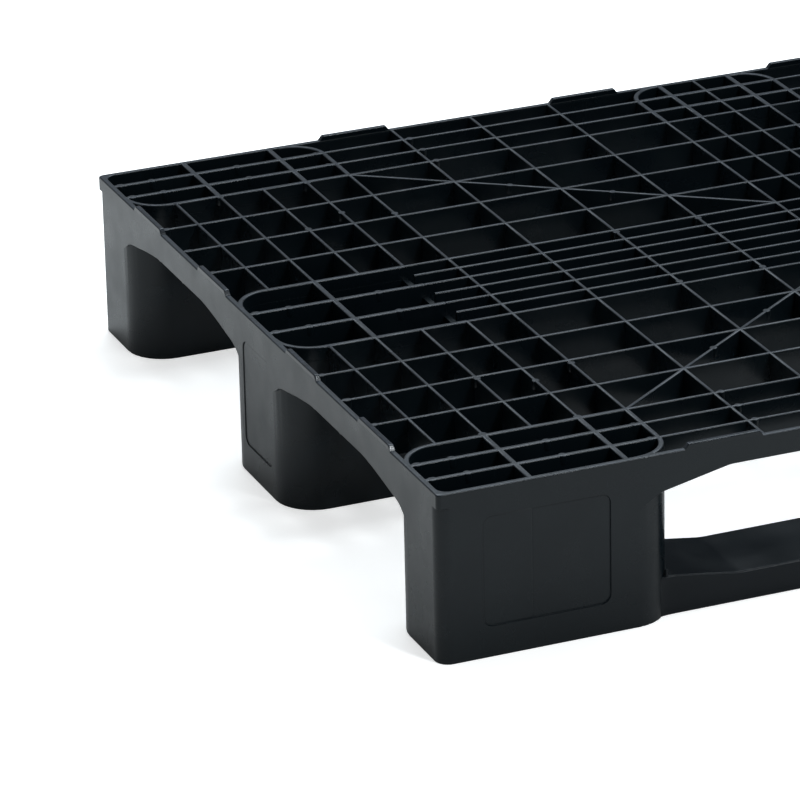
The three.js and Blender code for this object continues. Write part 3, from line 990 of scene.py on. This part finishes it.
# ---------------------------------------------------------------- the pieces
deck = build_deck()
assign(deck, deck_plastic)
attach(deck, "root")
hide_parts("deck")

for row_name, row in ROWS.items():
    bar = runner(f"pallet_runner_{row_name}", row)
    assign(bar, runner_plastic)
    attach(bar, "root")
    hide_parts(f"runner_{row_name}")

screw_form = screw_mesh()
screw_form.materials.clear()
screw_form.materials.append(steel)
for row_name, row in ROWS.items():
    for column_name, column in COLUMNS.items():
        for i, (x, y) in enumerate(screw_places(column, row), 1):
            label = f"{row_name}_{column_name}_{i}"
            one = bpy.data.objects.new(f"fixing_{label}", screw_form)
            bpy.context.scene.collection.objects.link(one)
            one.location = (x * MM, y * MM, 0)
            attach(one, "root")
            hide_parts(f"screw_{label}")

# ---------------------------------------------------------------- floor, light and camera
REACH = 40  # half the floor, in metres
FLOOR_GLOW = 0.52
floor_mesh = bpy.data.meshes.new("floor")
floor_mesh.from_pydata(
    [(-REACH, -REACH, 0), (REACH, -REACH, 0), (REACH, REACH, 0), (-REACH, REACH, 0)], [], [(0, 1, 2, 3)]
)
floor = bpy.data.objects.new("floor", floor_mesh)
bpy.context.scene.collection.objects.link(floor)
floor_nodes = Nodes("pale_floor")
floor_nodes.shader.inputs["Base Color"].default_value = (0.9, 0.88, 0.86, 1)
floor_nodes.shader.inputs["Roughness"].default_value = 0.9
floor_nodes.shader.inputs["Emission Color"].default_value = (1, 1, 1, 1)
# The floor looks white to the camera, while the pallet mirrors its true, shaded tone.
camera_ray = floor_nodes.node("ShaderNodeLightPath").outputs["Is Camera Ray"]
seen = floor_nodes.math("MULTIPLY", camera_ray, FLOOR_GLOW)
floor_nodes.link(seen, floor_nodes.shader.inputs["Emission Strength"])
floor_mesh.materials.append(floor_nodes.material)

world = bpy.data.worlds.new("studio")
bpy.context.scene.world = world
world.use_nodes = True
sky = world.node_tree.nodes["Background"]
sky.inputs["Color"].default_value = (0.92, 0.97, 1.0, 1)
sky.inputs["Strength"].default_value = 0.4


def area_light(name, place, target, size, power, colour):
    data = bpy.data.lights.new(name, "AREA")
    data.shape = "RECTANGLE"
    data.size, data.size_y = size
    data.energy = power
    data.color = colour
    lamp = bpy.data.objects.new(name, data)
    lamp.location = place
    direction = Vector(target) - Vector(place)
    lamp.rotation_euler = direction.to_track_quat("-Z", "Y").to_euler()
    bpy.context.scene.collection.objects.link(lamp)


area_light("overhead", (0.75, 1.15, 2.5), (0, 0, 0), (3.2, 1.6), 128, (0.83, 0.93, 1.0))
area_light("front_right", (0.64, -2.68, 2.49), (0, 0, 0), (0.5, 0.5), 60, (0.9, 0.96, 1.0))

CAMERA_PLACE = (-2.1126, -4.0741, 1.9130)
CAMERA_YAW, CAMERA_PITCH, CAMERA_ROLL = (math.radians(a) for a in (21.982, 22.915, -1.314))
SENSOR = 36
LENS = 247.2

yaw_sin, yaw_cos = math.sin(CAMERA_YAW), math.cos(CAMERA_YAW)
pitch_sin, pitch_cos = math.sin(CAMERA_PITCH), math.cos(CAMERA_PITCH)
forward = Vector((yaw_sin * pitch_cos, yaw_cos * pitch_cos, -pitch_sin))
right = Vector((yaw_cos, -yaw_sin, 0))
up = right.cross(forward)
roll_sin, roll_cos = math.sin(CAMERA_ROLL), math.cos(CAMERA_ROLL)
axis_x = roll_cos * right + roll_sin * up
axis_y = -roll_sin * right + roll_cos * up
camera_data = bpy.data.cameras.new("camera")
camera_data.sensor_width = SENSOR
camera_data.lens = LENS
camera_data.clip_end = 200
camera = bpy.data.objects.new("camera", camera_data)
aim = Matrix((axis_x, axis_y, -forward)).transposed().to_4x4()
camera.matrix_world = Matrix.Translation(CAMERA_PLACE) @ aim
bpy.context.scene.collection.objects.link(camera)
bpy.context.scene.camera = camera
bpy.context.scene.view_settings.view_transform = "Standard"
